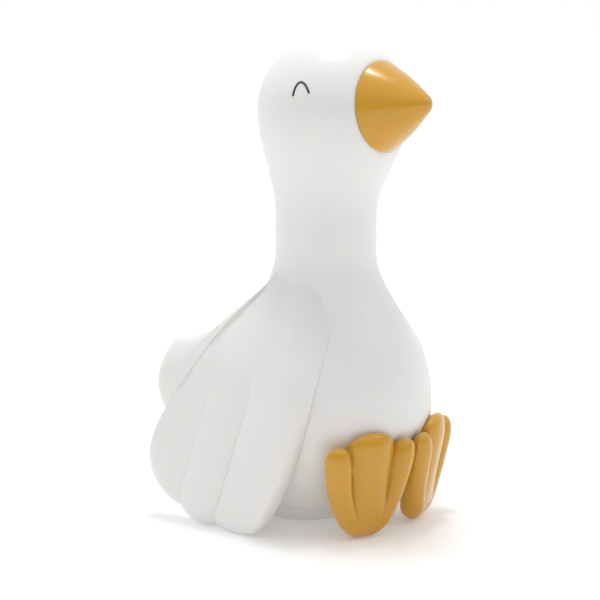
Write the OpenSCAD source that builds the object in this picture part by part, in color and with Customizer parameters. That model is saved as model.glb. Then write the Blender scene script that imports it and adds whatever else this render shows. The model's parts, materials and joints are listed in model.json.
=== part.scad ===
// Seated goose float that carries a telescoping chlorine cartridge in its base.
// Millimetres, +Z up, the goose faces -Y, its left side is +X.
// The origin is the centre of the ring that it stands on, which is the cartridge's axis.

/* [Body] */
// Radius of the belly at its widest
belly_r = 44; // [40:0.5:54]
// Height of the widest part of the belly
belly_h = 47; // [40:0.5:58]
// Width of the ring that the figure stands on, round the cartridge's mouth
base_rim = 2.52; // [2:0.02:3.5]
// How far the belly's axis stands in front of the base's axis
belly_lean = 11; // [6:0.5:13]
// Radius of the neck
neck_r = 20.8; // [17:0.1:25]
// Height at which the shoulders have narrowed to the neck
neck_low = 111; // [100:1:118]
// Height at which the neck starts to widen into the head
neck_top = 126; // [120:1:136]
// Height of the head's centre
head_h = 169; // [160:1:200]
// Width of the head
head_w = 62; // [54:0.5:73]
// Length of the head from back to front
head_l = 62; // [54:0.5:73]
// Height of the crown above the head's centre
head_rise = 31; // [26:0.5:37]
// How far the head's centre stands in front of the neck's axis
head_lean = 4; // [2:0.5:9]
// Wall of the moulded body
wall = 2.5; // [2:0.1:3]

/* [Beak] */
// Radius of the beak's root
beak_r = 18.2; // [16:0.1:20]
// How deep the rim of the beak's root is let into the head
beak_seat_in = 0.1; // [0:0.05:0.6]
// Distance of the beak's tip from the head's centre
beak_reach = 48; // [43:0.5:56]
// Radius of the rounded tip
beak_tip_r = 4.9; // [3:0.1:6]
// Upward pitch of the beak
beak_pitch = 6.5; // [0:0.5:12]
// Wall of the beak
beak_wall = 2; // [1.5:0.1:3]

/* [Eyes] */
// Width of the eye's arch
eye_w = 8; // [6:0.2:10]
// Height of the eye's arch
eye_rise = 6; // [4:0.2:8]
// Width of the line that draws the eye
eye_line = 0.9; // [0.6:0.1:1.4]
// Angle of the eye from straight ahead
eye_turn = 79; // [72:1:90]
// Angle of the eye above the head's centre
eye_up = 21.5; // [12:0.5:28]
// Turn of the eye in its own plane, its rear foot downwards
eye_tilt = 12; // [0:1:15]

/* [Wings] */
// Thickness of a wing
wing_t = 10; // [8:0.2:12]
// How far the wing's mid surface stands out from the belly's radius at the tips
wing_out = 1; // [-1:0.5:3]
// Depth of the step between neighbouring feathers
feather_step = 3.4; // [2:0.1:4.5]

/* [Feet] */
// Width of a foot
foot_w = 43; // [36:0.5:46]
// Height of a foot
foot_h = 44.5; // [38:0.5:50]
// Thickness of a foot
foot_t = 10; // [8:0.2:12]
// Outward turn of a foot
foot_splay = 20; // [10:1:26]
// Depth of the grooves between the toes
toe_groove = 2.6; // [1:0.1:3.5]

/* [Cartridge] */
// Radius of a tablet, which is the standard size of one inch across
tablet_r = 12.7; // [12:0.1:13.2]
// Thickness of a tablet
tablet_t = 12; // [10:0.5:13]
// Wall of the basket, the dosing sleeve and the cap
cup_wall = 1.2; // [1:0.1:1.4]
// Number of flow slots round the basket
slot_count = 6; // [4:1:8]
// Width of a flow slot
slot_w = 4.5; // [3:0.1:5]

/* [Base] */
// Height of the joint between the body and the base plate
joint_h = 8; // [7:0.5:9]
// Wall of the well that the cartridge slides in
well_wall = 1.4; // [1.2:0.1:2]
// Number of base screws
screw_count = 4; // [3:1:6]
// Height of the ballast ring
ballast_t = 10; // [6:0.5:14]

/* [Tether] */
// Radius of the hole in the tether eye
tether_hole_r = 2.5; // [2:0.1:3]
// Height of the tether eye
tether_h = 42; // [36:0.5:50]

/* [Hidden] */

$fn = 64;

// Colours
shell_white = [0.94, 0.93, 0.91];
mustard = [0.80, 0.61, 0.22];
line_black = [0.12, 0.11, 0.11];
tablet_white = [0.93, 0.95, 0.96];
rubber_grey = [0.25, 0.26, 0.27];
steel_grey = [0.62, 0.63, 0.64];
cup_blue = [0.55, 0.72, 0.82];

// Clearances
gap = 0.2;          // glued pieces that follow the body's curve
slide_gap = 0.3;    // pieces that slide or lift out
run_gap = 0.08;     // pieces that turn in one another
fit_gap = 0.05;     // pegs and spigots pushed home

// ---- sizes of the cartridge and its well ---------------------------------

tablet_count = 3;
tablet_gap = 0.1;
cup_gap = 0.5;                                // room round a tablet
basket_in = tablet_r + cup_gap;
basket_out = basket_in + cup_wall;
sleeve_in = basket_out + run_gap;
sleeve_out = sleeve_in + cup_wall;
cap_h = 9;                                    // height of the cap's skirt
cap_floor_t = 1.5;
grip_depth = 5.5;                             // depth of the finger recess
grip_w = 3.4;                                 // width of the grip bar
gasket_t = 0.8;
stop_t = 2;
stop_groove = 0.5;
cap_inner_out = basket_in - 2 * run_gap;
cap_inner_in = cap_inner_out - cup_wall;
basket_low = cap_floor_t + gasket_t;
cap_floor_top = grip_depth + cap_floor_t;
tablet_low = cap_floor_top + tablet_gap;
tablet_pitch = tablet_t + tablet_gap;
stop_at = tablet_low + tablet_count * tablet_pitch + 0.8;
basket_top = stop_at + stop_t;
sleeve_low = cap_h + 0.2;
sleeve_top = stop_at - 0.2;
slot_low = sleeve_low + 2.5;
slot_top = sleeve_top - 2;
stop_out = sleeve_out + slide_gap + 0.7;
mouth_r = sleeve_out + slide_gap;
well_in = stop_out + slide_gap;
well_out = well_in + well_wall;
lip_t = 4;                       // thickness of the lip that the stop ring meets
well_seal_t = 0.8;
well_low = lip_t + well_seal_t;
well_ceiling = basket_top + 1.4;
plug_wall = 4.82;                // wall of the spigot round the well
plug_out = well_out + plug_wall; // spigot that fits in the body's collar
base_r = mouth_r + base_rim;     // ring that the figure stands on

// ---- shared curves ------------------------------------------------------

function mix(a, b, t) = a + (b - a) * t;
function clamp01(t) = min(1, max(0, t));
function ease(t) = 0.5 - 0.5 * cos(180 * clamp01(t));
// A rounded edge: 0 at the edge, 1 from the distance r inwards
function round_edge(s, r) = sqrt(max(0, 1 - pow(1 - min(1, s / r), 2)));

// ---- body profile -------------------------------------------------------

// Depth of the lower half ellipse below the belly's widest height, met by the base ring
belly_drop = belly_h / sqrt(1 - pow(base_r / belly_r, 2));
shoulder_power = 1.25;
total_h = head_h + head_rise;
joint_r = belly_r * sqrt(1 - pow((belly_h - joint_h) / belly_drop, 2));

function low_radius(z, inset) =
    (belly_r - inset) * sqrt(max(0, 1 - pow((belly_h - z) / (belly_drop - inset), 2)));
function shoulder_radius(z) =
    mix(belly_r, neck_r, ease(pow((z - belly_h) / (neck_low - belly_h), shoulder_power)));
function crown_radius(z, inset, half) =
    (half - inset) * sqrt(max(0, 1 - pow((z - head_h) / (head_rise - inset), 2)));
// Radius of the level section at height z, moved inwards by inset; half is the head's half size
function section(z, inset, half) =
    z < belly_h ? low_radius(z, inset) :
    z < neck_low ? shoulder_radius(z) - inset :
    z < head_h ? mix(neck_r, half, ease((z - neck_top) / (head_h - neck_top))) - inset :
    crown_radius(z, inset, half);
// Distance that the section's centre stands in front of the base's axis
function lean(z) =
    belly_lean * ease((z - joint_h) / (belly_h - joint_h))
    + head_lean * ease((z - neck_top) / (head_h - neck_top));

// Side surface of the body: distance from the middle plane at forward place f and height z
function body_side(f, z) =
    let (w = section(z, 0, head_w / 2), d = section(z, 0, head_l / 2), c = (f - lean(z)) / max(d, 0.01))
    abs(c) < 1 ? w * sqrt(1 - c * c) : 0;
// Front surface of the body: forward place at sideways distance s and height z
function body_front(s, z) =
    let (w = section(z, 0, head_w / 2), d = section(z, 0, head_l / 2), c = s / max(w, 0.01))
    lean(z) + (abs(c) < 1 ? d * sqrt(1 - c * c) : 0);

// A point from its sideways, forward and upward places
function place(side, fwd, z) = [side, -fwd, z];

// ---- polyhedra ----------------------------------------------------------

body_sides = 48;
low_steps = 7;
mid_steps = 24;
crown_steps = 7;

function levels(inset) =
    let (drop = belly_drop - inset, start = acos((belly_h - joint_h) / drop), rise = head_rise - inset)
    concat(
        [for (i = [0:low_steps - 1]) belly_h - drop * cos(mix(start, 90, i / low_steps))],
        [for (i = [0:mid_steps - 1]) mix(belly_h, head_h, i / mid_steps)],
        [for (i = [0:crown_steps - 1]) head_h + rise * sin(90 * i / crown_steps)]);
function ring(z, inset) =
    let (w = section(z, inset, head_w / 2), d = section(z, inset, head_l / 2))
    [for (i = [0:body_sides - 1])
        let (a = 360 * i / body_sides) place(w * sin(a), lean(z) + d * cos(a), z)];
function skin(inset) = [for (z = levels(inset)) each ring(z, inset)];
// Triangles between the rings that start at points a and b; flip turns them over
function band(a, b, flip) =
    [for (i = [0:body_sides - 1])
        let (j = (i + 1) % body_sides)
        each (flip ? [[a + i, b + j, b + i], [a + i, a + j, b + j]]
                   : [[a + i, b + i, b + j], [a + i, b + j, a + j]])];
function cap_fan(a, tip, flip) =
    [for (i = [0:body_sides - 1])
        let (j = (i + 1) % body_sides) flip ? [a + i, a + j, tip] : [a + i, tip, a + j]];

module body_hollow() {
    rings = low_steps + mid_steps + crown_steps;
    inner = rings * body_sides;
    top_out = 2 * inner;
    points = concat(skin(0), skin(wall),
        [place(0, lean(head_h), total_h), place(0, lean(head_h), total_h - wall)]);
    faces = concat(
        [for (k = [0:rings - 2]) each band(k * body_sides, (k + 1) * body_sides, false)],
        cap_fan((rings - 1) * body_sides, top_out, false),
        [for (k = [0:rings - 2])
            each band(inner + k * body_sides, inner + (k + 1) * body_sides, true)],
        cap_fan(inner + (rings - 1) * body_sides, top_out + 1, true),
        band(0, inner, true));
    polyhedron(points, faces);
}

// Two sheets that share their outline, closed into one solid
module two_sheets(outer, inner, us, vs) {
    nu = len(us);
    nv = len(vs);
    count = nu * nv;
    function edge(i, j) = i == 0 || j == 0 || i == nu - 1 || j == nv - 1;
    function front(i, j) = j * nu + i;
    function back(i, j) = edge(i, j) ? front(i, j) : count + (j - 1) * (nu - 2) + i - 1;
    points = concat(
        [for (v = vs) for (u = us) outer(u, v)],
        [for (j = [1:nv - 2]) for (i = [1:nu - 2]) inner(us[i], vs[j])]);
    // Every corner cell is cut from its corner inwards, so that no triangle lies in both sheets
    function corner(i, j) = (i == nu - 2 && j == 0) || (i == 0 && j == nv - 2);
    faces = [for (j = [0:nv - 2]) for (i = [0:nu - 2]) each (corner(i, j) ? [
        [front(i, j), front(i + 1, j), front(i, j + 1)],
        [front(i + 1, j), front(i + 1, j + 1), front(i, j + 1)],
        [back(i, j), back(i, j + 1), back(i + 1, j)],
        [back(i + 1, j), back(i, j + 1), back(i + 1, j + 1)]] : [
        [front(i, j), front(i + 1, j), front(i + 1, j + 1)],
        [front(i, j), front(i + 1, j + 1), front(i, j + 1)],
        [back(i, j), back(i + 1, j + 1), back(i + 1, j)],
        [back(i, j), back(i, j + 1), back(i + 1, j + 1)]])];
    polyhedron(points, faces);
}

// ---- wings --------------------------------------------------------------

// Where one feather ends and the next begins, across the fan from front to back
feather_at = [0, 0.36, 0.56, 0.8, 1];
// Outline points between the feathers, as forward place from the belly's axis and height
feather_notch = [[8, 12], [-22, 2], [-40.5, 6], [-48, 44], [-50, 74]];
// How far each feather's tip bulges past the line between its notches
feather_bulge = [8, 3.2, 13, 6];
// Fullness of each feather's tip, and how far its fullest place lies towards the front
feather_round = [1, 0.8, 0.8, 0.8];
feather_skew = [0.92, 0.85, 0.85, 0.85];
// Where along the wing each groove starts: front edge, then between the feathers, then rear edge
groove_from = [2, 0.3, 0.42, 0.78, 2];
// How far each ray of the fan bows forwards
fan_bow = [15.5, 6, -2, 1, 10];
shoulder_front = [8, 110];
shoulder_rear = [-11, 109];
wing_floor = 0.2;   // height of the lowest feather above the ground
front_lift = 1.2;   // how far the front edge stands off the belly
wing_skin = 1.2;    // least thickness of the wing where it lies on the body

function feather(u) = u < feather_at[1] ? 0 : u < feather_at[2] ? 1 : u < feather_at[3] ? 2 : 3;
function tip(u) =
    let (k = feather(u), s = (u - feather_at[k]) / (feather_at[k + 1] - feather_at[k]),
         a = feather_notch[k], b = feather_notch[k + 1], n = (b - a) / norm(b - a))
    mix(a, b, s)
    - feather_bulge[k] * pow(max(0, sin(180 * pow(s, feather_skew[k]))), feather_round[k]) * [n[1], -n[0]];
function bow(u) =
    let (k = feather(u), s = (u - feather_at[k]) / (feather_at[k + 1] - feather_at[k]))
    mix(fan_bow[k], fan_bow[k + 1], s);
// Place on the fan, seen from the side
function fan(u, v) =
    let (a = mix(shoulder_front, shoulder_rear, u), b = tip(u), n = (b - a) / norm(b - a),
         w = pow(v, 0.85), p = mix(a, b, v) + 4 * w * (1 - w) * bow(u) * [-n[1], n[0]])
    [p[0] + belly_lean, max(p[1], wing_floor)];
// Distance of the wing's mid surface from the middle plane: the front edge lies on the body
function wing_side(u, f, z) =
    let (t = clamp01(1 - z / shoulder_front[1]),
         free = mix(neck_r - 2.5, belly_r + wing_out, 1 - pow(1 - t, 3)),
         hug = body_side(f, max(z, belly_h)) + front_lift)
    mix(hug, free, ease(u / 0.3));
// Depth below the wing's smooth surface made by the overlap of the feathers
function feather_dip(u, v) =
    let (k = feather(u), s = (u - feather_at[k]) / (feather_at[k + 1] - feather_at[k]),
         front = ease((v - groove_from[k]) / 0.3), rear = ease((v - groove_from[k + 1]) / 0.3),
         hollow = k == 0 ? 0.25 * ease((v - 0.3) / 0.3) * pow(sin(180 * s), 2) : 0)
    feather_step * (front * pow(1 - s, 2) + 0.35 * rear * pow(s, 6) + hollow);
function wing_half(v) = wing_t / 2 * mix(0.38, 1, ease(v / 0.5));
function wing_edge(u, v) =
    min(round_edge(u, 0.1), round_edge(1 - u, 0.12), round_edge(v, 0.22), round_edge(1 - v, 0.07));
function wing_outer(u, v) =
    let (p = fan(u, v), e = wing_edge(u, v), mid = wing_side(u, p[0], p[1]),
         seat = body_side(p[0], p[1]) + gap)
    place(max(mid + e * (wing_half(v) - feather_dip(u, v)), seat + e * wing_skin), p[0], p[1]);
function wing_inner(u, v) =
    let (p = fan(u, v), e = wing_edge(u, v), mid = wing_side(u, p[0], p[1]),
         seat = body_side(p[0], p[1]) + gap)
    place(max(mid - e * wing_half(v), seat), p[0], p[1]);
module wing_fan() {
    us = [for (k = [0:3]) for (i = [0:8])
        mix(feather_at[k], feather_at[k + 1], (k == 0 ? ease(i / 8) : i / 8) * 0.998 + 0.001)];
    vs = [for (j = [0:22]) mix(j / 22, ease(j / 22), 0.5)];
    two_sheets(function(u, v) wing_outer(u, v), function(u, v) wing_inner(u, v), us, vs);
}

// ---- feet ---------------------------------------------------------------

toe_at = [0, 0.27, 0.73, 1];      // where the toes begin and end across the foot, from the outer side
toe_short = [4.3, 0, 4.3];        // how much shorter each toe is than the middle one
toe_round = 3.4;                   // how far the gaps between the toes reach down
foot_part = 1.1;                   // distance of the inner toes from the middle plane
foot_spread = 3.5;                // how much further out the toes' middle is
foot_side = foot_w / 2 * cos(foot_splay) + foot_part - foot_spread;   // sideways place of the heel
heel_inset = 11;                  // how far the heel stands behind the belly's front
foot_lean = 8;                    // how much further forward the toes are than the heel
foot_floor = 0.2;                 // height of the heel above the ground
heel_power = 0.47;                // roundness of the heel's outline
heel_flat = 0.8;                  // how far below the heel its outline would close

function toe(u) = u < toe_at[1] ? 0 : u < toe_at[2] ? 1 : 2;
function toe_place(u) = let (k = toe(u)) (u - toe_at[k]) / (toe_at[k + 1] - toe_at[k]);
function toe_top(u) =
    let (k = toe(u), s = toe_place(u), r = (toe_at[k + 1] - toe_at[k]) * foot_w / 2, c = abs(2 * s - 1))
    foot_h - toe_short[k] - min(r, toe_round) * (1 - sqrt(max(0, 1 - pow(c, 2.6))));
function foot_half(b) = foot_w / 2 * pow(max(0, sin(90 * clamp01((b + heel_flat) / foot_h))), heel_power);
// Across and up in the plane of the foot; across runs from the outer to the inner side
function sole(u, v) =
    let (b = v * toe_top(u)) [mix(-1, 1, u) * foot_half(b), b];
function sole_edge(u, v) =
    min(round_edge(u, 0.13), round_edge(1 - u, 0.13), round_edge(v, 0.16), round_edge(1 - v, 0.12));
function toe_dip(u, v) =
    let (k = toe(u), c = abs(2 * toe_place(u) - 1))
    toe_groove * ease((v - 0.15) / 0.6) * pow(c, 3) * (u < 0.08 || u > 0.92 ? 0.5 : 1);
// A point of the foot: a across, b up and c out of its plane
function foot_point(a, b, c) =
    let (t = b / foot_h, s = foot_side + foot_spread * t,
         f = belly_lean + belly_r - heel_inset + foot_lean * t,
         across = [-cos(foot_splay), sin(foot_splay)], normal = [sin(foot_splay), cos(foot_splay)])
    [s + a * across[0] + c * normal[0], f + a * across[1] + c * normal[1], b + foot_floor];
function foot_outer(u, v) =
    let (q = sole(u, v), e = sole_edge(u, v), p = foot_point(q[0], q[1], e * (foot_t / 2 - toe_dip(u, v))))
    place(p[0], p[1], p[2]);
function foot_inner(u, v) =
    let (q = sole(u, v), e = sole_edge(u, v), p = foot_point(q[0], q[1], -e * foot_t / 2))
    place(p[0], max(p[1], body_front(p[0], p[2]) + gap), p[2]);
module foot_pad() {
    us = [for (k = [0:2]) for (i = [0:9])
        mix(toe_at[k], toe_at[k + 1], mix(i / 9, ease(i / 9), 0.6) * 0.998 + 0.001)];
    vs = [for (j = [0:14]) mix(j / 14, ease(j / 14), 0.8)];
    two_sheets(function(u, v) foot_outer(u, v), function(u, v) foot_inner(u, v), us, vs);
}

// ---- beak and eyes ------------------------------------------------------

head_fwd = belly_lean + head_lean;
// Distance of the beak's root from the head's centre: where the rim meets the head
beak_root = head_l / 2 * sqrt(1 - pow(beak_r / min(head_w / 2, head_rise), 2)) - beak_seat_in;
beak_plug_r = beak_r - 2.2;
beak_plug_l = 3;

// Puts its children on the beak's axis, with +Z pointing out of the head
module on_beak() {
    translate([0, -head_fwd, head_h]) rotate([90 - beak_pitch, 0, 0]) children();
}
// Half outline of the beak's cone, moved inwards; the round tip is an arc tangent to the cone
function beak_outline(inset) =
    let (tip = beak_reach - beak_tip_r, far = tip - beak_root, d = norm([beak_r, far]),
         tilt = acos(beak_tip_r / d) - atan2(beak_r, far), r = beak_tip_r - inset)
    [for (i = [0:5]) let (a = mix(0, 90 - tilt, i / 5)) [r * sin(a), tip + r * cos(a)]];
module beak_cone(inset, root) {
    tip = beak_reach - beak_tip_r;
    rotate_extrude() polygon(concat([[0, root]], beak_outline(inset), [[beak_r - inset, root]]));
}
module beak() {
    color(mustard) on_beak() difference() {
        union() {
            beak_cone(0, beak_root);
            translate([0, 0, beak_root - beak_plug_l]) cylinder(r = beak_plug_r, h = beak_plug_l + 1);
        }
        beak_cone(beak_wall, beak_root + 1);
        translate([0, 0, beak_root - beak_plug_l - 1])
            cylinder(r = beak_plug_r - beak_wall, h = beak_plug_l + 3);
    }
}
module beak_seat() {
    on_beak() {
        translate([0, 0, beak_root]) cylinder(r = beak_r + fit_gap, h = beak_reach);
        translate([0, 0, beak_root - 2 * beak_plug_l]) cylinder(r = beak_plug_r + fit_gap, h = beak_reach);
    }
}

eye_depth = 0.9;
eye_bend = 2.3;      // squareness of the arch: 2 is a parabola
eye_steps = 24;
function eye_dir() = [cos(eye_up) * sin(eye_turn), cos(eye_up) * cos(eye_turn), sin(eye_up)];
// Distance from the head's centre to its surface along the eye's direction
function eye_reach() =
    let (d = eye_dir())
    1 / norm([d[0] / (head_w / 2), d[1] / (head_l / 2), d[2] / head_rise]);
// Place on the arch's middle line, and the direction square to it
function arch(t) = [t * (eye_w - eye_line) / 2, (eye_rise - eye_line) * (1 - pow(abs(t), eye_bend))];
function arch_normal(t) =
    let (d = arch(min(1, t + 0.01)) - arch(max(-1, t - 0.01))) [-d[1], d[0]] / norm(d);
// An arch open at its foot, lying in the surface of the head
module eye_arch(side) {
    ts = [for (i = [0:eye_steps]) sin(90 * (2 * i / eye_steps - 1))];
    translate([0, -head_fwd, head_h])
        rotate([0, 0, side > 0 ? eye_turn - 90 : -90 - eye_turn])
        rotate([0, 90 - eye_up, 0])
        translate([0, 0, eye_reach() - eye_depth + 0.15])
        rotate([0, 0, 90 - side * eye_tilt])
        translate([0, -eye_rise / 2, 0])
        linear_extrude(height = eye_depth) polygon(concat(
            [for (t = ts) arch(t) + eye_line / 2 * arch_normal(t)],
            [for (i = [0:eye_steps]) let (t = ts[eye_steps - i]) arch(t) - eye_line / 2 * arch_normal(t)]));
}

// ---- pegs that hold the wings and feet ----------------------------------

peg_r = 3;
toe_peg_r = 2.5;
peg_grip = 2;        // how far a peg reaches past the inside of the wall
// Forward place from the belly's axis and height of each wing peg, and its depth in the wing
wing_pegs = [[8, 62, 0.24 * wing_t], [2, 82, 0.14 * wing_t]];
// Sideways place and height of each foot peg, and its depth in the foot
foot_pegs = [[foot_side - 3.8, foot_h - 8.5, foot_t / 4], [foot_side + 5.2, foot_h - 6.5, foot_t / 4]];

module wing_peg_set(r, tail, nose) {
    for (p = wing_pegs) {
        face = body_side(belly_lean + p[0], p[1]);
        translate([face - wall - peg_grip - tail, -belly_lean - p[0], p[1]])
            rotate([0, 90, 0]) cylinder(r = r, h = wall + peg_grip + tail + p[2] + nose);
    }
}
module foot_peg_set(r, tail, nose) {
    for (p = foot_pegs) {
        face = body_front(p[0], p[1]);
        translate([p[0], -face + wall + peg_grip + tail, p[1]])
            rotate([90, 0, 0]) cylinder(r = r, h = wall + peg_grip + tail + p[2] + nose);
    }
}

module left_wing() {
    color(shell_white) {
        wing_fan();
        wing_peg_set(peg_r, 0, 0);
    }
}
module right_wing() {
    mirror([1, 0, 0]) left_wing();
}
module left_foot() {
    color(mustard) {
        foot_pad();
        foot_peg_set(toe_peg_r, 0, 0);
    }
}
module right_foot() {
    mirror([1, 0, 0]) left_foot();
}

// ---- cartridge ----------------------------------------------------------

module tube(r_in, r_out, low, high) {
    translate([0, 0, low]) difference() {
        cylinder(r = r_out, h = high - low);
        translate([0, 0, -1]) cylinder(r = r_in, h = high - low + 2);
    }
}
// A piece of a tube between two angles
module tube_piece(r_in, r_out, low, high, from, to) {
    rotate([0, 0, from]) translate([0, 0, low]) rotate_extrude(angle = to - from)
        translate([r_in, 0]) square([r_out - r_in, high - low]);
}
module slots(reach) {
    for (i = [0:slot_count - 1]) rotate([0, 0, 360 * i / slot_count])
        translate([0, -slot_w / 2, slot_low]) cube([reach, slot_w, slot_top - slot_low]);
}

// The basket's lugs: three hold the cap, and two stop the dosing sleeve at open and shut
lug_rise = 0.9;
cap_lug_count = 3;
cap_lug_half = 8;               // half the length of a cap lug, as an angle
cap_lug_at = 80;
cap_lug_low = 4.2;
cap_lug_top = 5.8;
cap_turn = 60;                  // turn of the cap from locked to free
dose_lug_count = 2;
dose_lug_half = 4;
dose_lug_at = 45;
dose_turn = 180 / slot_count;   // turn of the sleeve from open to shut
lug_room = 0.3;                 // room above, below and past the end of a lug
room_angle = 1.2;

module lugs(count, half, at, low, top) {
    for (i = [0:count - 1]) rotate([0, 0, at + 360 * i / count])
        tube_piece(basket_out - cup_wall / 2, basket_out + lug_rise, low, top, -half, half);
}
// The space that a ring of lugs sweeps as its partner turns
module lug_paths(count, half, at, low, top, turn) {
    for (i = [0:count - 1]) rotate([0, 0, at + 360 * i / count])
        tube_piece(basket_out - 1, sleeve_out + 1, low, top,
                   -turn - half - room_angle, half + room_angle);
}
module tablet_basket() {
    color(cup_blue) {
        lugs(cap_lug_count, cap_lug_half, cap_lug_at, cap_lug_low, cap_lug_top);
        lugs(dose_lug_count, dose_lug_half, dose_lug_at, sleeve_low + lug_room, sleeve_low + 1.3);
        difference() {
            tube(basket_in, basket_out, basket_low, stop_at);
            slots(basket_out + 1);
        }
        difference() {
            translate([0, 0, stop_at]) cylinder(r = basket_out - stop_groove, h = stop_t);
            translate([0, 0, stop_at - 1]) for (a = [0:3]) rotate([0, 0, 90 * a + 45])
                translate([7, 0, 0]) cylinder(r = 1.5, h = stop_t + 2);
        }
    }
}
module stop_ring() {
    color(rubber_grey) tube(basket_out - stop_groove, stop_out, stop_at, basket_top);
}
module tablet(k) {
    z = tablet_low + k * tablet_pitch;
    edge = 1;
    color(tablet_white) translate([0, 0, z]) rotate_extrude() polygon([
        [0, 0], [tablet_r - edge, 0], [tablet_r, edge], [tablet_r, tablet_t - edge],
        [tablet_r - edge, tablet_t], [0, tablet_t]]);
}
module tablet_lower() { tablet(0); }
module tablet_middle() { tablet(1); }
module tablet_upper() { tablet(2); }
module dosing_sleeve() {
    color(cup_blue) difference() {
        tube(sleeve_in, sleeve_out, sleeve_low, sleeve_top);
        slots(sleeve_out + 1);
        lug_paths(dose_lug_count, dose_lug_half, dose_lug_at, sleeve_low - 1, sleeve_low + 1.6, dose_turn);
    }
}
module basket_cap() {
    color(cup_blue) {
        tube(cap_inner_in, sleeve_out, 0, cap_floor_t);
        difference() {
            tube(sleeve_in, sleeve_out, 0, cap_h);
            lug_paths(cap_lug_count, cap_lug_half, cap_lug_at,
                      cap_lug_low - lug_room, cap_lug_top + lug_room, cap_turn);
            // the ways in, at the end of each path and a little narrower
            lug_paths(cap_lug_count, cap_lug_half - 0.4, cap_lug_at - cap_turn, cap_lug_low, cap_h + 1, 0);
        }
        tube(cap_inner_in, cap_inner_out, 0, cap_floor_top);
        translate([0, 0, cap_floor_top - cap_floor_t]) cylinder(r = cap_inner_in + 0.2, h = cap_floor_t);
        intersection() {
            translate([-grip_w / 2, -cap_inner_in - 0.2, 0])
                cube([grip_w, 2 * cap_inner_in + 0.4, grip_depth + 0.2]);
            cylinder(r = cap_inner_in + 0.2, h = grip_depth + 0.2);
        }
    }
}
module cap_gasket() {
    color(rubber_grey) tube(basket_in, basket_out, cap_floor_t, basket_low);
}

// ---- base and well ------------------------------------------------------

plug_h = 8;
collar_out = joint_r - 0.6;
collar_h = 9;
grip_ring_t = 1.8;
grip_ring_w = 1.2;
grip_ring_at = 1.1;
seal_r = 0.8;
seal_at = joint_h + plug_h - 2.6;
screw_r = 1;
screw_head_r = 1.8;
screw_head_t = 1.2;
screw_l = 8;
screw_seat = joint_h - 1.1;      // height of the screws' seats in the base plate
screw_ring = plug_out + 1.7;
clip_t = 1;
clip_groove = 0.5;
ballast_low = joint_h + plug_h + 0.1;
clip_at = ballast_low + ballast_t + 0.1;

module screw_places() {
    for (i = [0:screw_count - 1]) rotate([0, 0, 360 * i / screw_count]) translate([screw_ring, 0, 0])
        children();
}
module base_plate() {
    color(shell_white) difference() {
        rotate_extrude() polygon(concat(
            [[mouth_r, 0]],
            [for (i = [0:12]) let (z = joint_h * i / 12) [low_radius(z, 0), z]],
            [[plug_out, joint_h], [plug_out, joint_h + plug_h], [well_out + fit_gap, joint_h + plug_h],
             [well_out + fit_gap, lip_t], [mouth_r, lip_t]]));
        translate([0, 0, grip_ring_at]) rotate_extrude()
            translate([mouth_r - 1, 0]) square([1 + grip_ring_w, grip_ring_t]);
        translate([0, 0, seal_at - seal_r - 0.1]) rotate_extrude()
            translate([plug_out - 2 * seal_r, 0]) square([2 * seal_r + 1, 2 * seal_r + 0.2]);
        screw_places() {
            cylinder(r = screw_r + 0.15, h = joint_h + 1);
            translate([0, 0, -1]) cylinder(r = screw_head_r + 0.2, h = screw_seat + 1);
        }
    }
}
module base_seal() {
    color(rubber_grey) translate([0, 0, seal_at]) rotate_extrude()
        translate([plug_out + fit_gap - seal_r, 0]) circle(r = seal_r);
}
module screw() {
    slot = 0.5;
    difference() {
        translate([0, 0, screw_seat - screw_head_t]) cylinder(r = screw_head_r, h = screw_head_t);
        for (a = [0, 90]) rotate([0, 0, a])
            translate([-screw_r, -slot / 2, screw_seat - screw_head_t - 1])
                cube([2 * screw_r, slot, 1.7]);
    }
    translate([0, 0, screw_seat]) cylinder(r = screw_r, h = screw_l - 2);
    translate([0, 0, screw_seat + screw_l - 2]) cylinder(r1 = screw_r, r2 = 0.3, h = 2);
}
module base_screws() {
    color(steel_grey) screw_places() screw();
}
module well_sleeve() {
    color(cup_blue) {
        difference() {
            tube(well_in, well_out, well_low, well_ceiling);
            translate([0, 0, clip_at - 0.05]) difference() {
                cylinder(r = well_out + 1, h = clip_t + 0.1);
                translate([0, 0, -1]) cylinder(r = well_out - clip_groove, h = clip_t + 3);
            }
        }
        translate([0, 0, well_ceiling]) cylinder(r = well_out, h = well_wall);
    }
}
module well_seal() {
    color(rubber_grey) tube(well_in, well_out, lip_t, well_low);
}
module grip_ring() {
    color(rubber_grey)
        tube(sleeve_out + fit_gap, mouth_r + grip_ring_w, grip_ring_at, grip_ring_at + grip_ring_t);
}
module ballast_ring() {
    color(steel_grey) tube(well_out + slide_gap, plug_out - 0.5, ballast_low, ballast_low + ballast_t);
}
module ballast_clip() {
    mouth = 12;
    color(steel_grey) difference() {
        tube(well_out - clip_groove, well_out + 2.2, clip_at, clip_at + clip_t);
        translate([0, -mouth / 2, clip_at - 1]) cube([well_out + 4, mouth, clip_t + 2]);
    }
}

// ---- tether eye ---------------------------------------------------------

tether_face = body_front(0, tether_h) - 2 * lean(tether_h);   // the body's back, behind the base's axis
stem_r = 2;
flange_r = 5;
flange_t = 1.6;
tether_spot = 0.7;          // depth of the flat that the seal sits on
tether_seal_t = 0.8;
lug_t = 3;
lug_r = tether_hole_r + 2.2;
lug_out = 3.2;              // the lug's hole stands this far past the flange
nut_t = 2;
seal_face = tether_face - tether_spot;
flange_face = seal_face + tether_seal_t;

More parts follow.
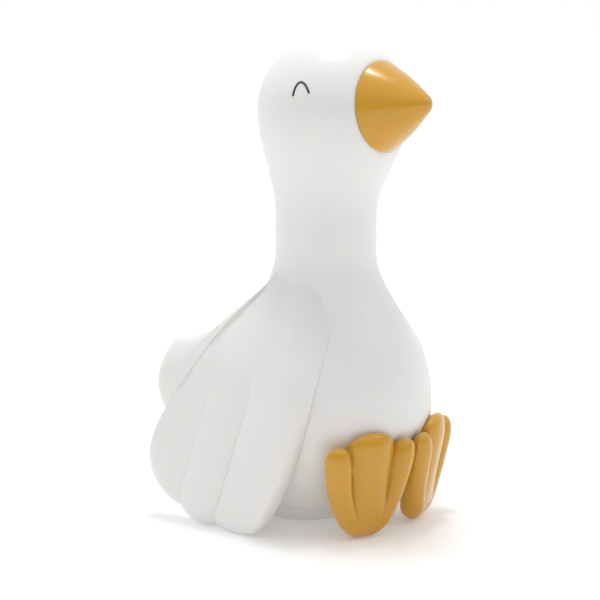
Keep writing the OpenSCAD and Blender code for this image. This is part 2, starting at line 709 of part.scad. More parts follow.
// Puts its children on the tether eye's axis, with +Z pointing out of the back
module on_tether() {
    translate([0, 0, tether_h]) rotate([-90, 0, 0]) children();
}
module tether_eye() {
    hole_at = flange_face + flange_t + lug_out;
    inside = tether_face - wall - 0.3 - nut_t - 1;
    color(shell_white) difference() {
        union() {
            on_tether() {
                translate([0, 0, inside]) cylinder(r = stem_r, h = flange_face - inside + 0.5);
                translate([0, 0, flange_face]) cylinder(r = flange_r, h = flange_t);
            }
            translate([-lug_r, flange_face + 0.5, tether_h - lug_t / 2])
                cube([2 * lug_r, hole_at - flange_face - 0.5, lug_t]);
            translate([0, hole_at, tether_h - lug_t / 2]) cylinder(r = lug_r, h = lug_t);
        }
        translate([0, hole_at, tether_h - lug_t]) cylinder(r = tether_hole_r, h = 2 * lug_t);
    }
}
module tether_seal() {
    color(rubber_grey) on_tether() tube(stem_r + fit_gap, flange_r - 0.3, seal_face, flange_face);
}
module tether_nut() {
    color(steel_grey) on_tether() translate([0, 0, tether_face - wall - 0.3 - nut_t]) difference() {
        cylinder(r = 4, h = nut_t, $fn = 6);
        translate([0, 0, -1]) cylinder(r = stem_r + 0.02, h = nut_t + 2);
    }
}

// ---- body shell ---------------------------------------------------------

module body_shell() {
    color(shell_white) difference() {
        union() {
            body_hollow();
            tube(plug_out + fit_gap, collar_out, joint_h, joint_h + collar_h);
        }
        beak_seat();
        for (m = [0, 1]) mirror([m, 0, 0]) {
            wing_peg_set(peg_r + fit_gap, 4, 0);
            foot_peg_set(toe_peg_r + fit_gap, 4, 0);
        }
        screw_places() cylinder(r = screw_r, h = screw_seat + screw_l + 0.5);
        on_tether() {
            translate([0, 0, tether_face - 2 * wall]) cylinder(r = stem_r + fit_gap, h = 3 * wall);
            translate([0, 0, seal_face]) cylinder(r = flange_r + 0.2, h = 5);
        }
        eye_arch(1);
        eye_arch(-1);
    }
}
module left_eye() { color(line_black) eye_arch(1); }
module right_eye() { color(line_black) eye_arch(-1); }

body_shell();
beak();
left_wing();
right_wing();
left_foot();
right_foot();
left_eye();
right_eye();
base_plate();
base_seal();
base_screws();
well_sleeve();
well_seal();
grip_ring();
ballast_ring();
ballast_clip();
tether_eye();
tether_seal();
tether_nut();
tablet_basket();
stop_ring();
tablet_lower();
tablet_middle();
tablet_upper();
dosing_sleeve();
basket_cap();
cap_gasket();
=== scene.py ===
"""Seated goose float with a chlorine tablet cartridge: the looks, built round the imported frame.

Lengths in the shape functions are millimetres, as in the part's source; points turn into metres in point().
"""

import json
from math import acos, atan2, cos, hypot, pi, radians, sin, sqrt

import bmesh
import bpy
from mathutils import Matrix, Vector


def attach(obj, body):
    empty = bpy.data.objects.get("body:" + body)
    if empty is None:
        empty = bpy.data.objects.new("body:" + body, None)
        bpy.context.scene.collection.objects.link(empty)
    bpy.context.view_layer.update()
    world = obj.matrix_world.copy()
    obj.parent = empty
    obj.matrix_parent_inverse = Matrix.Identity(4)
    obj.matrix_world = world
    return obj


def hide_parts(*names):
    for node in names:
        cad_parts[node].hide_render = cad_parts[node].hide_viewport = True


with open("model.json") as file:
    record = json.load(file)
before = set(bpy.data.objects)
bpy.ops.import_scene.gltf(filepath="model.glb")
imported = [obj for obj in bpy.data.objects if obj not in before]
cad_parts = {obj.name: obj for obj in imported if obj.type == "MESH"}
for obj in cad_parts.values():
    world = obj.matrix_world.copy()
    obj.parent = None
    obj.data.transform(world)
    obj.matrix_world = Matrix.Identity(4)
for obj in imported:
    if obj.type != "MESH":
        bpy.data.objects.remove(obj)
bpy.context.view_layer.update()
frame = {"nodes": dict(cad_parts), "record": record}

# ---- sizes, as in the part's source -----------------------------------------

BELLY_R, BELLY_H, BASE_R, BELLY_LEAN = 44, 47, 18.5, 11
NECK_R, NECK_LOW, NECK_TOP = 20.8, 111, 126
HEAD_H, HEAD_W, HEAD_L, HEAD_RISE, HEAD_LEAN = 169, 62, 62, 31, 4
WALL, JOINT_H, SHOULDER_POWER = 2.5, 8, 1.25
BEAK_R, BEAK_ROOT, BEAK_REACH, BEAK_TIP_R, BEAK_PITCH = 18.2, 25, 48, 4.9, 6.5
EYE_W, EYE_RISE, EYE_LINE, EYE_TURN, EYE_UP, EYE_TILT, EYE_BEND = 8, 6, 0.9, 79, 21.5, 12, 2.3
WING_T, WING_OUT, FEATHER_STEP = 10, 1, 3.4
FOOT_W, FOOT_H, FOOT_T, FOOT_SPLAY, TOE_GROOVE = 43, 44.5, 10, 20, 2.6
GAP = 0.2
HEAD_FWD = BELLY_LEAN + HEAD_LEAN

FEATHER_AT = (0, 0.36, 0.56, 0.8, 1)
FEATHER_NOTCH = ((8, 12), (-22, 2), (-40.5, 6), (-48, 44), (-50, 74))
FEATHER_BULGE = (8, 3.2, 13, 6)
FEATHER_ROUND = (1, 0.8, 0.8, 0.8)
FEATHER_SKEW = (0.92, 0.85, 0.85, 0.85)
GROOVE_FROM = (2, 0.3, 0.42, 0.78, 2)
FAN_BOW = (15.5, 6, -2, 1, 10)
SHOULDER_FRONT, SHOULDER_REAR = (8, 110), (-11, 109)
WING_FLOOR, FRONT_LIFT, WING_SKIN, WING_SINK = 0.2, 1.2, 1.2, 0.5

TOE_AT = (0, 0.27, 0.73, 1)
TOE_SHORT = (4.3, 0, 4.3)
TOE_ROUND, FOOT_SIDE, FOOT_SPREAD, HEEL_INSET = 3.4, 17.8, 3.5, 11
FOOT_LEAN, FOOT_FLOOR, HEEL_POWER, HEEL_FLAT = 8, 0.2, 0.47, 0.8


# ---- curves shared by the pieces --------------------------------------------

def mix(a, b, t):
    return a + (b - a) * t


def clamp01(t):
    return min(1.0, max(0.0, t))


def ease(t):
    return 0.5 - 0.5 * cos(pi * clamp01(t))


def round_edge(s, r):
    """0 at an edge, 1 from the distance r inwards."""
    return sqrt(max(0.0, 1 - (1 - min(1.0, s / r)) ** 2))


def root(x):
    return sqrt(max(0.0, x))


BELLY_DROP = BELLY_H / sqrt(1 - (BASE_R / BELLY_R) ** 2)


def section(z, inset, half):
    """Radius of the level section at height z; half is the head's half size that way."""
    if z < BELLY_H:
        return (BELLY_R - inset) * root(1 - ((BELLY_H - z) / (BELLY_DROP - inset)) ** 2)
    if z < NECK_LOW:
        return mix(BELLY_R, NECK_R, ease(((z - BELLY_H) / (NECK_LOW - BELLY_H)) ** SHOULDER_POWER)) - inset
    if z < HEAD_H:
        return mix(NECK_R, half, ease((z - NECK_TOP) / (HEAD_H - NECK_TOP))) - inset
    return (half - inset) * root(1 - ((z - HEAD_H) / (HEAD_RISE - inset)) ** 2)


def lean(z):
    return (BELLY_LEAN * ease((z - JOINT_H) / (BELLY_H - JOINT_H))
            + HEAD_LEAN * ease((z - NECK_TOP) / (HEAD_H - NECK_TOP)))


def body_side(f, z):
    w, d = section(z, 0, HEAD_W / 2), section(z, 0, HEAD_L / 2)
    c = (f - lean(z)) / max(d, 0.01)
    return w * sqrt(1 - c * c) if abs(c) < 1 else 0.0


def body_round(f, z):
    """As body_side, but held short of the middle plane at the front and back of the body."""
    w, d = section(z, 0, HEAD_W / 2), section(z, 0, HEAD_L / 2)
    return w * sqrt(1 - min(0.92, abs(f - lean(z)) / max(d, 0.01)) ** 2)


def body_front(s, z):
    w, d = section(z, 0, HEAD_W / 2), section(z, 0, HEAD_L / 2)
    c = s / max(w, 0.01)
    return lean(z) + (d * sqrt(1 - c * c) if abs(c) < 1 else 0.0)


def point(side, fwd, z):
    """A point in the frame, in metres, from its sideways, forward and upward places."""
    return Vector((side, -fwd, z)) / 1000


# ---- meshes -------------------------------------------------------------------

def piece(name, verts, faces):
    mesh = bpy.data.meshes.new(name)
    mesh.from_pydata([tuple(v) for v in verts], [], faces)
    mesh.update()
    mesh.shade_smooth()
    obj = bpy.data.objects.new(name, mesh)
    bpy.context.scene.collection.objects.link(obj)
    return obj


def weld(obj, dist=1e-6):
    """Merges doubles and turns every face outwards."""
    bm = bmesh.new()
    bm.from_mesh(obj.data)
    bmesh.ops.remove_doubles(bm, verts=bm.verts, dist=dist)
    bmesh.ops.dissolve_degenerate(bm, edges=bm.edges, dist=1e-8)
    bmesh.ops.recalc_face_normals(bm, faces=bm.faces)
    bm.to_mesh(obj.data)
    bm.free()
    obj.data.shade_smooth()
    return obj


def lathe(name, outline, sides, place):
    """Turns an outline of (radius, height) points, closed back onto itself, round an axis."""
    verts, faces, rings = [], [], []
    for r, h in outline:
        if r < 1e-6:
            rings.append([len(verts)] * sides)
            verts.append(place(0, 0, h))
        else:
            rings.append(list(range(len(verts), len(verts) + sides)))
            turns = [2 * pi * i / sides for i in range(sides)]
            verts += [place(r * cos(a), r * sin(a), h) for a in turns]
    for k in range(len(rings) - 1):
        a, b = rings[k], rings[k + 1]
        for i in range(sides):
            j = (i + 1) % sides
            quad = [a[i], a[j], b[j], b[i]]
            quad = [v for n, v in enumerate(quad) if v not in quad[:n]]
            if len(quad) > 2:
                faces.append(quad)
    return weld(piece(name, verts, faces))


def two_sheets(name, outer, inner, us, vs, mirrored):
    """Two sheets that share their outline, closed into one solid."""
    nu, nv = len(us), len(vs)
    flip = -1 if mirrored else 1
    verts = [outer(u, v) for v in vs for u in us]
    count = len(verts)
    verts += [inner(us[i], vs[j]) for j in range(1, nv - 1) for i in range(1, nu - 1)]
    verts = [Vector((flip * p.x, p.y, p.z)) for p in verts]

    def front(i, j):
        return j * nu + i

    def back(i, j):
        edge = i in (0, nu - 1) or j in (0, nv - 1)
        return front(i, j) if edge else count + (j - 1) * (nu - 2) + i - 1

    faces = []
    for j in range(nv - 1):
        for i in range(nu - 1):
            faces.append([front(i, j), front(i + 1, j), front(i + 1, j + 1), front(i, j + 1)])
            faces.append([back(i, j), back(i, j + 1), back(i + 1, j + 1), back(i + 1, j)])
    # a corner cell is split from its corner, so that no triangle lies in both sheets
    corners = (front(nu - 1, 0), front(0, nv - 1), front(0, 0), front(nu - 1, nv - 1))
    split = []
    for f in faces:
        ids = set(f)
        hit = [c for c in corners if c in ids]
        if hit:
            k = f.index(hit[0])
            split += [[f[k], f[(k + 1) % 4], f[(k + 2) % 4]], [f[k], f[(k + 2) % 4], f[(k + 3) % 4]]]
        else:
            split.append(f)
    if not mirrored:
        split = [f[::-1] for f in split]
    return piece(name, verts, split)


# ---- the moulded body -----------------------------------------------------------

def body_levels(inset, low, mid, crown):
    drop, rise = BELLY_DROP - inset, HEAD_RISE - inset
    start = acos((BELLY_H - JOINT_H) / drop)
    zs = [BELLY_H - drop * cos(mix(start, pi / 2, i / low)) for i in range(low)]
    zs += [mix(BELLY_H, HEAD_H, i / mid) for i in range(mid)]
    zs += [HEAD_H + rise * sin(pi / 2 * i / crown) for i in range(crown)]
    return zs


pitch = radians(BEAK_PITCH)
BEAK_DIR = Vector((0, -cos(pitch), sin(pitch)))
HEAD_CENTRE = Vector((0, -HEAD_FWD, HEAD_H)) / 1000


def seat_for_beak(p):
    """Presses the head flat where the beak's root stands on it."""
    q = p - HEAD_CENTRE
    along = q.dot(BEAK_DIR)
    across = (q - along * BEAK_DIR).length
    depth = along - (BEAK_ROOT - 0.25) / 1000
    return p - BEAK_DIR * depth if depth > 0 and across < (BEAK_R + 2) / 1000 else p


def make_body():
    sides, verts, faces = 168, [], []
    skins = []
    for inset in (0, WALL):
        zs = body_levels(inset, 34, 100, 30)
        start = len(verts)
        for z in zs:
            w, d = section(z, inset, HEAD_W / 2), section(z, inset, HEAD_L / 2)
            for i in range(sides):
                a = 2 * pi * i / sides
                p = point(w * sin(a), lean(z) + d * cos(a), z)
                verts.append(p if inset else seat_for_beak(p))
        tip = len(verts)
        verts.append(point(0, lean(HEAD_H), HEAD_H + HEAD_RISE - inset))
        skins.append((start, len(zs), tip))
    for turn, (start, rings, tip) in enumerate(skins):
        for k in range(rings):
            for i in range(sides):
                j = (i + 1) % sides
                a = start + k * sides
                f = [a + i, a + j, a + sides + j, a + sides + i]
                if k == rings - 1:
                    f = [a + i, a + j, tip]
                faces.append(f[::-1] if turn == 0 else f)
    lip = skins[1][0]
    for i in range(sides):
        j = (i + 1) % sides
        faces.append([i, j, lip + j, lip + i])
    return weld(piece("goose_body", verts, faces))


# ---- wings ------------------------------------------------------------------------

def feather(u):
    return 0 if u < FEATHER_AT[1] else 1 if u < FEATHER_AT[2] else 2 if u < FEATHER_AT[3] else 3


def feather_place(u):
    k = feather(u)
    return k, (u - FEATHER_AT[k]) / (FEATHER_AT[k + 1] - FEATHER_AT[k])


def tip(u):
    k, s = feather_place(u)
    a, b = Vector(FEATHER_NOTCH[k]), Vector(FEATHER_NOTCH[k + 1])
    n = (b - a).normalized()
    bulge = FEATHER_BULGE[k] * max(0, sin(pi * s ** FEATHER_SKEW[k])) ** FEATHER_ROUND[k]
    return a.lerp(b, s) - bulge * Vector((n.y, -n.x))


def fan(u, v):
    k, s = feather_place(u)
    a, b = Vector(SHOULDER_FRONT).lerp(Vector(SHOULDER_REAR), u), tip(u)
    n = (b - a).normalized()
    w = v ** 0.85
    p = a.lerp(b, v) + 4 * w * (1 - w) * mix(FAN_BOW[k], FAN_BOW[k + 1], s) * Vector((-n.y, n.x))
    return p.x + BELLY_LEAN, max(p.y, WING_FLOOR)


def wing_side(u, v, f, z):
    t = clamp01(1 - z / SHOULDER_FRONT[1])
    free = mix(NECK_R - 2.5, BELLY_R + WING_OUT, 1 - (1 - t) ** 3)
    lift = mix(-WING_SINK, FRONT_LIFT, ease((v - 0.2) / 0.4))
    middle = mix(body_side(f, max(z, BELLY_H)) + lift, free, ease(u / 0.3))
    return mix(body_round(f, z) - WING_SINK, middle, ease(v / 0.34))


def feather_dip(u, v):
    k, s = feather_place(u)
    front = ease((v - GROOVE_FROM[k]) / 0.3)
    rear = ease((v - GROOVE_FROM[k + 1]) / 0.3)
    hollow = 0.25 * ease((v - 0.3) / 0.3) * sin(pi * s) ** 2 if k == 0 else 0
    return FEATHER_STEP * (front * (1 - s) ** 2.2 + 0.72 * rear * s ** 4.5 + hollow)


def wing_half(v):
    return WING_T / 2 * mix(0.38, 1, ease(v / 0.5))


def wing_edge(u, v):
    """0 on the outline, 1 inside; round at the tips, and running softly into the body at the shoulder."""
    soft = 1 - ease((v - 0.08) / 0.42)

    def side(s, r):
        return mix(round_edge(s, r), ease(s / (2.6 * r)), soft)
    return side(u, 0.1) * side(1 - u, 0.12) * ease(v / 0.42) * round_edge(1 - v, 0.08)


def wing_point(u, v, out):
    f, z = fan(u, v)
    e, middle, seat = wing_edge(u, v), wing_side(u, v, f, z), body_side(f, z) - WING_SINK
    if out:
        return point(max(middle + e * (wing_half(v) - feather_dip(u, v)), seat + e * WING_SKIN), f, z)
    return point(max(middle - e * wing_half(v), seat), f, z)


def make_wing(name, mirrored):
    us = []
    for k in range(4):
        steps = (34, 22, 26, 24)[k]
        for i in range(steps + 1):
            s = mix(i / steps, ease(i / steps), 0.55)
            us.append(mix(FEATHER_AT[k], FEATHER_AT[k + 1], s * 0.998 + 0.001))
    rows = 110
    vs = [mix(j / rows, ease(j / rows), 0.6) for j in range(rows + 1)]
    return two_sheets(name, lambda u, v: wing_point(u, v, True), lambda u, v: wing_point(u, v, False),
                      us, vs, mirrored)


# ---- feet -------------------------------------------------------------------------

def toe_place(u):
    k = 0 if u < TOE_AT[1] else 1 if u < TOE_AT[2] else 2
    return k, (u - TOE_AT[k]) / (TOE_AT[k + 1] - TOE_AT[k])


def toe_top(u):
    k, s = toe_place(u)
    r, c = (TOE_AT[k + 1] - TOE_AT[k]) * FOOT_W / 2, abs(2 * s - 1)
    return FOOT_H - TOE_SHORT[k] - min(r, TOE_ROUND) * (1 - root(1 - c ** 2.6))


def foot_half(b):
    return FOOT_W / 2 * max(0, sin(pi / 2 * clamp01((b + HEEL_FLAT) / FOOT_H))) ** HEEL_POWER


def toe_dip(u, v):
    k, s = toe_place(u)
    inner = 1 - 0.5 * (ease((0.12 - u) / 0.08) + ease((u - 0.88) / 0.08))
    return 1.25 * TOE_GROOVE * ease((v - 0.1) / 0.6) * abs(2 * s - 1) ** 2.6 * inner


def foot_point(u, v, out):
    k, across = toe_place(u)
    b = v * (toe_top(u) - (1.6, 1.2, 1.6)[k] * abs(2 * across - 1) ** 2 * ease((v - 0.5) / 0.5))
    a = mix(-1, 1, u) * foot_half(b)
    e = round_edge(u, 0.14) * round_edge(1 - u, 0.14) * round_edge(v, 0.18) * round_edge(1 - v, 0.24)
    c = e * (FOOT_T / 2 - toe_dip(u, v)) if out else -e * FOOT_T / 2
    t, turn = b / FOOT_H, radians(FOOT_SPLAY)
    s = FOOT_SIDE + FOOT_SPREAD * t - a * cos(turn) + c * sin(turn)
    f = BELLY_LEAN + BELLY_R - HEEL_INSET + FOOT_LEAN * t + a * sin(turn) + c * cos(turn)
    z = b + FOOT_FLOOR
    return point(s, f if out else max(f, body_front(s, z) + GAP), z)


def make_foot(name, mirrored):
    us = []
    for k in range(3):
        steps = (26, 36, 26)[k]
        for i in range(steps + 1):
            s = mix(i / steps, ease(i / steps), 0.6)
            us.append(mix(TOE_AT[k], TOE_AT[k + 1], s * 0.998 + 0.001))
    rows = 72
    vs = [mix(j / rows, ease(j / rows), 0.8) for j in range(rows + 1)]
    return two_sheets(name, lambda u, v: foot_point(u, v, True), lambda u, v: foot_point(u, v, False),
                      us, vs, mirrored)


# ---- beak and eyes ------------------------------------------------------------------

def make_beak():
    """A cone with faintly full sides, a soft root edge and a round tip."""
    up = Vector((0, sin(pitch), cos(pitch)))
    far = BEAK_REACH - BEAK_TIP_R
    slant = hypot(BEAK_R, far - BEAK_ROOT)
    tilt = acos(BEAK_TIP_R / slant) - atan2(BEAK_R, far - BEAK_ROOT)
    end = (BEAK_TIP_R * cos(tilt), far + BEAK_TIP_R * sin(tilt))
    edge, full = 0.7, 0.55
    outline = [(0, BEAK_ROOT)] + [(BEAK_R * i / 12, BEAK_ROOT) for i in range(1, 12)]
    outline += [(BEAK_R - edge + edge * sin(a), BEAK_ROOT + edge - edge * cos(a))
                for a in (radians(x) for x in range(0, 91, 15))]
    start = outline[-1]
    for i in range(1, 60):
        t = i / 60
        swell = full * sin(pi * t)
        outline.append((mix(start[0], end[0], t) + swell, mix(start[1], end[1], t) + 0.5 * swell))
    outline += [(BEAK_TIP_R * sin(a), far + BEAK_TIP_R * cos(a))
                for a in (mix(pi / 2 - tilt, 0, i / 18) for i in range(19))]
    outline[-1] = (0, outline[-1][1])
    return lathe("goose_beak", outline, 144,
                 lambda x, y, h: HEAD_CENTRE + (Vector((1, 0, 0)) * x + up * y + BEAK_DIR * h) / 1000)


def make_eye(name, side):
    """A bowed line with round ends, lying in the surface of the head."""
    turn = Matrix.Rotation(radians(EYE_TURN - 90 if side > 0 else -90 - EYE_TURN), 3, "Z")
    turn = turn @ Matrix.Rotation(radians(90 - EYE_UP), 3, "Y")
    spin = Matrix.Rotation(radians(90 - side * EYE_TILT), 3, "Z")
    half = (HEAD_W / 2, HEAD_L / 2, HEAD_RISE)

    def on_head(x, y, lift):
        look = turn @ Vector((0, 0, 1))
        reach = 1 / sqrt(sum((c / h) ** 2 for c, h in zip(look, half)))
        d = (turn @ (spin @ Vector((x, y - EYE_RISE / 2, 0)) + Vector((0, 0, reach)))).normalized()
        return HEAD_CENTRE + d * (1 / sqrt(sum((c / h) ** 2 for c, h in zip(d, half))) + lift) / 1000

    def arch(t):
        return Vector((t * (EYE_W - EYE_LINE) / 2, (EYE_RISE - EYE_LINE) * (1 - abs(t) ** EYE_BEND)))

    steps, sides, r = 64, 12, EYE_LINE / 2
    verts, faces, rings = [], [], []
    for i in range(steps + 1):
        t = sin(pi / 2 * (2 * i / steps - 1))
        d = (arch(min(1, t + 0.01)) - arch(max(-1, t - 0.01))).normalized()
        shrink = root(1 - max(0, abs(2 * i / steps - 1) - 0.94) ** 2 / 0.06 ** 2)
        shrink = max(shrink, 0.05)
        ring = []
        for j in range(sides):
            a = 2 * pi * j / sides
            q = arch(t) + r * shrink * cos(a) * Vector((-d.y, d.x))
            ring.append(len(verts))
            verts.append(on_head(q.x, q.y, shrink * 0.32 * sin(a)))
        rings.append(ring)
    for i in range(steps):
        for j in range(sides):
            k = (j + 1) % sides
            faces.append([rings[i][j], rings[i][k], rings[i + 1][k], rings[i + 1][j]])
    faces += [rings[0][::-1], rings[-1]]
    return weld(piece(name, verts, faces))


# ---- materials ------------------------------------------------------------------------

class Value:
    """One shader socket; sums and products of it add their own Math nodes."""

    def __init__(self, finish, socket):
        self.finish, self.socket = finish, socket

    def maths(self, operation, a, b=None):
        return self.finish.node("ShaderNodeMath", {"operation": operation}, [a] if b is None else [a, b])

    def __add__(self, other):
        return self.maths("ADD", self, other)

    def __sub__(self, other):
        return self.maths("SUBTRACT", self, other)

    def __rsub__(self, other):
        return self.maths("SUBTRACT", other, self)

    def __mul__(self, other):
        return self.maths("MULTIPLY", self, other)

    __radd__, __rmul__ = __add__, __mul__


class Finish:
    """A procedural material that reads Object coordinates."""

    def __init__(self, name, **constants):
        self.material = bpy.data.materials.new(name)
        self.material.use_nodes = True
        self.tree = self.material.node_tree
        self.tree.nodes.clear()
        output = self.tree.nodes.new("ShaderNodeOutputMaterial")
        self.shader = self.tree.nodes.new("ShaderNodeBsdfPrincipled")
        self.tree.links.new(self.shader.outputs[0], output.inputs[0])
        for socket, value in constants.items():
            self.shader.inputs[socket.replace("_", " ")].default_value = value
        self.place = self.node("ShaderNodeTexCoord", {}, [], out="Object")

    def node(self, kind, settings, inputs, out=0):
        made = self.tree.nodes.new(kind)
        for key, value in settings.items():
            if key == "stops":
                ramp = made.color_ramp
                while len(ramp.elements) < len(value):
                    ramp.elements.new(0.5)
                for element, (at, colour) in zip(ramp.elements, value):
                    element.position, element.color = at, colour
            else:
                setattr(made, key, value)
        pairs = inputs.items() if isinstance(inputs, dict) else enumerate(inputs)
        for key, value in pairs:
            if isinstance(value, Value):
                self.tree.links.new(value.socket, made.inputs[key])
            else:
                made.inputs[key].default_value = value
        return Value(self, made.outputs[out])

    def noise(self, scale, detail=3.0, rough=0.5, at=None):
        return self.node("ShaderNodeTexNoise", {},
                         {"Vector": at or self.place, "Scale": scale, "Detail": detail, "Roughness": rough})

    def cells(self, scale, feature="F1", at=None):
        return self.node("ShaderNodeTexVoronoi", {"feature": feature},
                         {"Vector": at or self.place, "Scale": scale}, out="Distance")

    def stretched(self, x, y, z):
        return self.node("ShaderNodeMapping", {}, {"Vector": self.place, "Scale": (x, y, z)})

    def fade(self, value, low, high, a=0.0, b=1.0):
        """value moved from the range low..high to a..b, held at its ends, softly."""
        return self.node("ShaderNodeMapRange", {"interpolation_type": "SMOOTHSTEP"}, [value, low, high, a, b])

    def blend(self, factor, a, b):
        mixed = self.tree.nodes.new("ShaderNodeMix")
        mixed.data_type = "RGBA"
        self.tree.links.new(factor.socket, mixed.inputs["Factor"])
        for socket, value in ((mixed.inputs[6], a), (mixed.inputs[7], b)):
            if isinstance(value, Value):
                self.tree.links.new(value.socket, socket)
            else:
                socket.default_value = (*value, 1.0)
        return Value(self, mixed.outputs[2])

    def bump(self, height, distance, strength=1.0):
        return self.node("ShaderNodeBump", {}, {"Strength": strength, "Distance": distance, "Height": height})

    def feed(self, **links):
        for socket, value in links.items():
            self.tree.links.new(value.socket, self.shader.inputs[socket.replace("_", " ")])
        return self.material


def gloss_moulding(name, light, deep, rough, coat, subsurface):
    """Glossy moulded vinyl: soft large drift in tone, polishing haze and a faint orange peel."""
    m = Finish(name, Coat_Weight=coat, Coat_Roughness=0.06, IOR=1.48, Subsurface_Weight=subsurface,
               Subsurface_Radius=(0.004, 0.003, 0.0022), Subsurface_Scale=1.0)
    drift = m.noise(24, 2, 0.4)
    haze = m.noise(110, 3, 0.5)
    peel = m.noise(620, 2, 0.45)
    rubs = m.fade(m.noise(700, 3, 0.6, at=m.stretched(1, 1, 0.12)), 0.62, 0.78)
    roughness = m.fade(haze, 0.25, 0.75, rough - 0.02, rough + 0.03) + rubs * 0.015
    return m.feed(Base_Color=m.blend(m.fade(drift, 0.2, 0.8), deep, light), Roughness=roughness,
                  Normal=m.bump(peel, 0.00002))


def make_finishes():
    done = {}
    done["shell"] = gloss_moulding("white_gloss_vinyl", light=(0.88, 0.868, 0.852), deep=(0.87, 0.857, 0.84),
                                   rough=0.42, coat=0.1, subsurface=0.12)
    done["mustard"] = gloss_moulding("mustard_gloss_vinyl", light=(0.67, 0.345, 0.02),
                                     deep=(0.63, 0.315, 0.016), rough=0.25, coat=0.35, subsurface=0.02)

    m = Finish("eye_black_ink", Coat_Weight=0.3, Coat_Roughness=0.15)
    drift = m.noise(900, 3)
    done["eye_black"] = m.feed(
        Base_Color=m.blend(m.fade(drift, 0.35, 0.65), (0.022, 0.019, 0.019), (0.04, 0.035, 0.034)),
        Roughness=m.fade(drift, 0.3, 0.7, 0.32, 0.42), Normal=m.bump(drift, 0.00003))

    m = Finish("seal_rubber", Specular_IOR_Level=0.4)
    bloom, grit = m.noise(140, 4, 0.6), m.noise(2600, 2)
    done["seal_rubber"] = m.feed(
        Base_Color=m.blend(m.fade(bloom, 0.35, 0.7), (0.028, 0.029, 0.03), (0.062, 0.064, 0.067)),
        Roughness=m.fade(bloom, 0.3, 0.7, 0.58, 0.74), Normal=m.bump(grit, 0.00005))

    m = Finish("stainless_steel", Anisotropic=0.3)
    lines = m.noise(260, 4, 0.65, at=m.stretched(1, 1, 14))
    spots = m.fade(m.noise(120, 3), 0.62, 0.75)
    done["steel"] = m.feed(
        Base_Color=m.blend(lines, (0.46, 0.465, 0.47), (0.64, 0.645, 0.65)),
        Metallic=1.0 - spots * 0.08, Roughness=m.fade(lines, 0.3, 0.7, 0.24, 0.36) + spots * 0.12,
        Normal=m.bump(lines, 0.00003))

    m = Finish("cup_blue_plastic", Subsurface_Weight=0.1, Subsurface_Radius=(0.001, 0.0015, 0.002),
               Coat_Weight=0.15, Coat_Roughness=0.2)
    cloud, peel = m.noise(60, 3), m.noise(900, 2)
    rubs = m.fade(m.noise(420, 3, 0.6, at=m.stretched(1, 1, 0.08)), 0.6, 0.75)
    done["cup_blue"] = m.feed(
        Base_Color=m.blend(m.fade(cloud, 0.3, 0.7), (0.27, 0.47, 0.60), (0.33, 0.54, 0.66)),
        Roughness=m.fade(cloud, 0.3, 0.7, 0.36, 0.46) + rubs * 0.1, Normal=m.bump(peel + rubs * 0.5, 0.00004))

    m = Finish("pressed_tablet", Subsurface_Weight=0.05)
    # The pits and crumbled patches are pressed in and also painted darker: painted shade in the dents.
    grain, pits_with_painted_shade = m.noise(1500, 5, 0.7), m.fade(m.cells(900), 0.08, 0.2, 1.0, 0.0)
    crumble_with_painted_shade = m.fade(m.noise(230, 4, 0.65), 0.56, 0.74)
    done["tablet"] = m.feed(
        Base_Color=m.blend(pits_with_painted_shade * 0.5 + crumble_with_painted_shade * 0.25, (0.88, 0.9, 0.9), (0.66, 0.7, 0.72)),
        Roughness=m.fade(grain, 0.3, 0.7, 0.78, 0.95),
        Normal=m.bump(grain - pits_with_painted_shade * 0.7 - crumble_with_painted_shade * 0.5, 0.00016))
    return done


finishes = make_finishes()


def dress(obj, slot):
    obj.data.materials.clear()
    obj.data.materials.append(finishes[slot])


# ---- the pieces, each standing for its CAD node -----------------------------------------

made = [
    (make_body(), "body_shell", "shell"),
    (make_beak(), "beak", "mustard"),
    (make_wing("goose_left_wing", False), "left_wing", "shell"),
    (make_wing("goose_right_wing", True), "right_wing", "shell"),
    (make_foot("goose_left_foot", False), "left_foot", "mustard"),
    (make_foot("goose_right_foot", True), "right_foot", "mustard"),
    (make_eye("goose_left_eye", 1), "left_eye", "eye_black"),
    (make_eye("goose_right_eye", -1), "right_eye", "eye_black"),
]
for obj, node, slot in made:
    dress(obj, slot)
    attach(obj, "body")
    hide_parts(node)

replaced = {node for _, node, _ in made}
for part in frame["record"]["subparts"]:
    if part["node"] not in replaced:
        dress(frame["nodes"][part["node"]], part["material_slot"])

# ---- floor, light and camera --------------------------------------------------------------

scene = bpy.context.scene
scene.view_settings.view_transform = "Standard"

view_turn, view_up = radians(-51), radians(10.5)
VIEW_AIM, VIEW_DISTANCE = Vector((-6.75, -2.79, 90.6)) / 1000, 0.865
back = Vector((sin(view_turn) * cos(view_up), -cos(view_turn) * cos(view_up), sin(view_up)))
right = Vector((0, 0, 1)).cross(back).normalized()

FLOOR_HALF, FLOOR_LEVEL = 3, -0.0001
corners = [(x * FLOOR_HALF, y * FLOOR_HALF, FLOOR_LEVEL) for x, y in ((-1, -1), (1, -1), (1, 1), (-1, 1))]
floor = piece("floor", corners, [[0, 1, 2, 3]])
# The floor glows: painted light that lifts it to white and pales the goose's shadow on it; the glow is weaker
# near the goose and rises outwards.
m = Finish("pale_floor", Roughness=0.6, Emission_Strength=0.42)
drift = m.noise(3, 2)
distance = m.node("ShaderNodeVectorMath", {"operation": "LENGTH"}, [m.place], out="Value")
floor.data.materials.append(m.feed(
    Base_Color=m.blend(drift, (0.86, 0.86, 0.86), (0.89, 0.89, 0.89)),
    Emission_Color=m.blend(m.fade(distance, 0.15, 0.9), (0.42, 0.42, 0.42), (1.0, 1.0, 1.0))))

world = bpy.data.worlds.new("studio")
scene.world = world
world.use_nodes = True
tree = world.node_tree
sky = tree.nodes["Background"]
look = tree.nodes.new("ShaderNodeTexCoord")


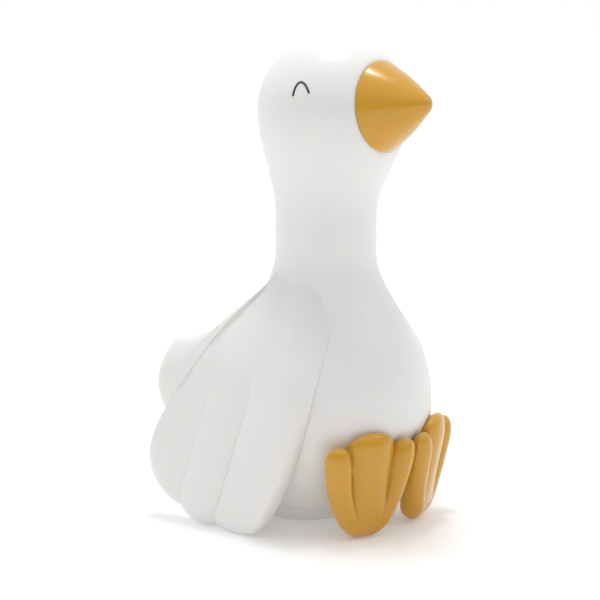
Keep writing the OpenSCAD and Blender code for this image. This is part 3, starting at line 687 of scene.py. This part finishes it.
def graded(direction, low, high, a, b):
    """A soft step over the sky along one direction, from a at low to b at high."""
    split = tree.nodes.new("ShaderNodeVectorMath")
    split.operation = "DOT_PRODUCT"
    split.inputs[1].default_value = direction
    tree.links.new(look.outputs["Generated"], split.inputs[0])
    step = tree.nodes.new("ShaderNodeMapRange")
    step.interpolation_type = "SMOOTHSTEP"
    for socket, value in zip(step.inputs[1:5], (low, high, a, b)):
        socket.default_value = value
    tree.links.new(split.outputs["Value"], step.inputs[0])
    return step.outputs[0]


def sky_maths(operation, *inputs):
    made = tree.nodes.new("ShaderNodeMath")
    made.operation = operation
    for socket, value in zip(made.inputs, inputs):
        if isinstance(value, (int, float)):
            socket.default_value = value
        else:
            tree.links.new(value, socket)
    return made.outputs[0]


SKY_DIM = 0.85
shade = sky_maths("MULTIPLY", graded((back.x, back.y, 0.0), -0.6, 0.6, 0.0, 1.0),
                  graded((0.0, 0.0, 1.0), 0.2, 0.8, 0.62, 0.0))
lighting = sky_maths("MULTIPLY", sky_maths("SUBTRACT", 1.0, shade), SKY_DIM)
# the sky that is seen is plain white; the sky that lights the goose is dimmer
seen = tree.nodes.new("ShaderNodeLightPath").outputs["Is Camera Ray"]
tree.links.new(sky_maths("MAXIMUM", seen, lighting), sky.inputs["Color"])
sky.inputs["Strength"].default_value = 1.0


def softbox(name, at, aim, size, power):
    light = bpy.data.lights.new(name, "AREA")
    light.shape, light.size, light.size_y, light.energy = "RECTANGLE", size[0], size[1], power
    obj = bpy.data.objects.new(name, light)
    scene.collection.objects.link(obj)
    obj.location = at
    obj.rotation_mode = "QUATERNION"
    obj.rotation_quaternion = (at - aim).to_track_quat("Z", "Y")


middle = Vector((0, 0, 0.09))
softbox("left_softbox", middle - right * 0.6 + back * 0.3 + Vector((0, 0, 0.6)), middle, (0.13, 0.18), 0.3)
softbox("right_softbox", middle + right * 0.7 + back * 0.1 + Vector((0, 0, 0.6)), middle, (0.13, 0.18), 0.4)
softbox("top_softbox", middle + Vector((0, 0, 0.9)) - back * 0.1, middle, (0.2, 0.2), 3.0)

lens = bpy.data.cameras.new("camera")
lens.sensor_width, lens.lens = 36, 126
camera = bpy.data.objects.new("camera", lens)
scene.collection.objects.link(camera)
camera.rotation_mode = "QUATERNION"
camera.location = VIEW_AIM + back * VIEW_DISTANCE
camera.rotation_quaternion = back.to_track_quat("Z", "Y")
lens.clip_start, lens.clip_end = 0.05, 20
scene.camera = camera
